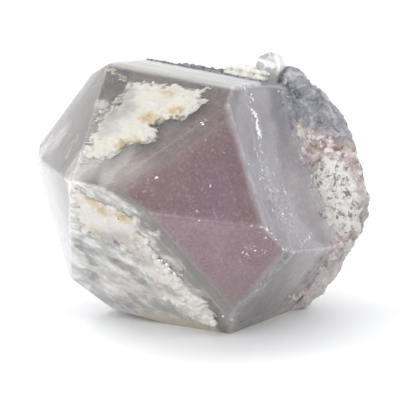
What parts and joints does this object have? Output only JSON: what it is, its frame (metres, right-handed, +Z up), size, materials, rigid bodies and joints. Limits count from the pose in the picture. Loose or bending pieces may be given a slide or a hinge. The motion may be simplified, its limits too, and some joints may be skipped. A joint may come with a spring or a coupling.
{
  "type": "hematite phantom quartz",
  "caption": "Stubby quartz crystal lying on its side, with a mauve hematite phantom inside, pale crusts on its faces and a lump of matrix on its root.",
  "frame": {"origin": "centre of the footprint at the ground the specimen rests on", "axes": "+Z up; +Y from the crystal's tip side to its rock side, the longest way through; +X to the right when the tip points towards the viewer and to the left"},
  "size_m": [0.0446, 0.0501, 0.0348],
  "materials": {
    "clear_quartz": "clear to slightly cloudy natural crystal faces with faint growth lines",
    "hematite_phantom": "matt mauve-brown hematite dusting on flat inner faces",
    "rock_matrix": "rough granular broken rock, pinkish brown, white and blue-grey",
    "crust": "rough chalky cream-white crust with ochre stains"
  },
  "bodies": {
    "root": {"clear_quartz": "clear_quartz", "hematite_phantom": "hematite_phantom", "rock_matrix": "rock_matrix", "upper_crust": "crust", "lower_crust": "crust", "rear_crust": "crust"}
  },
  "joints": []
}
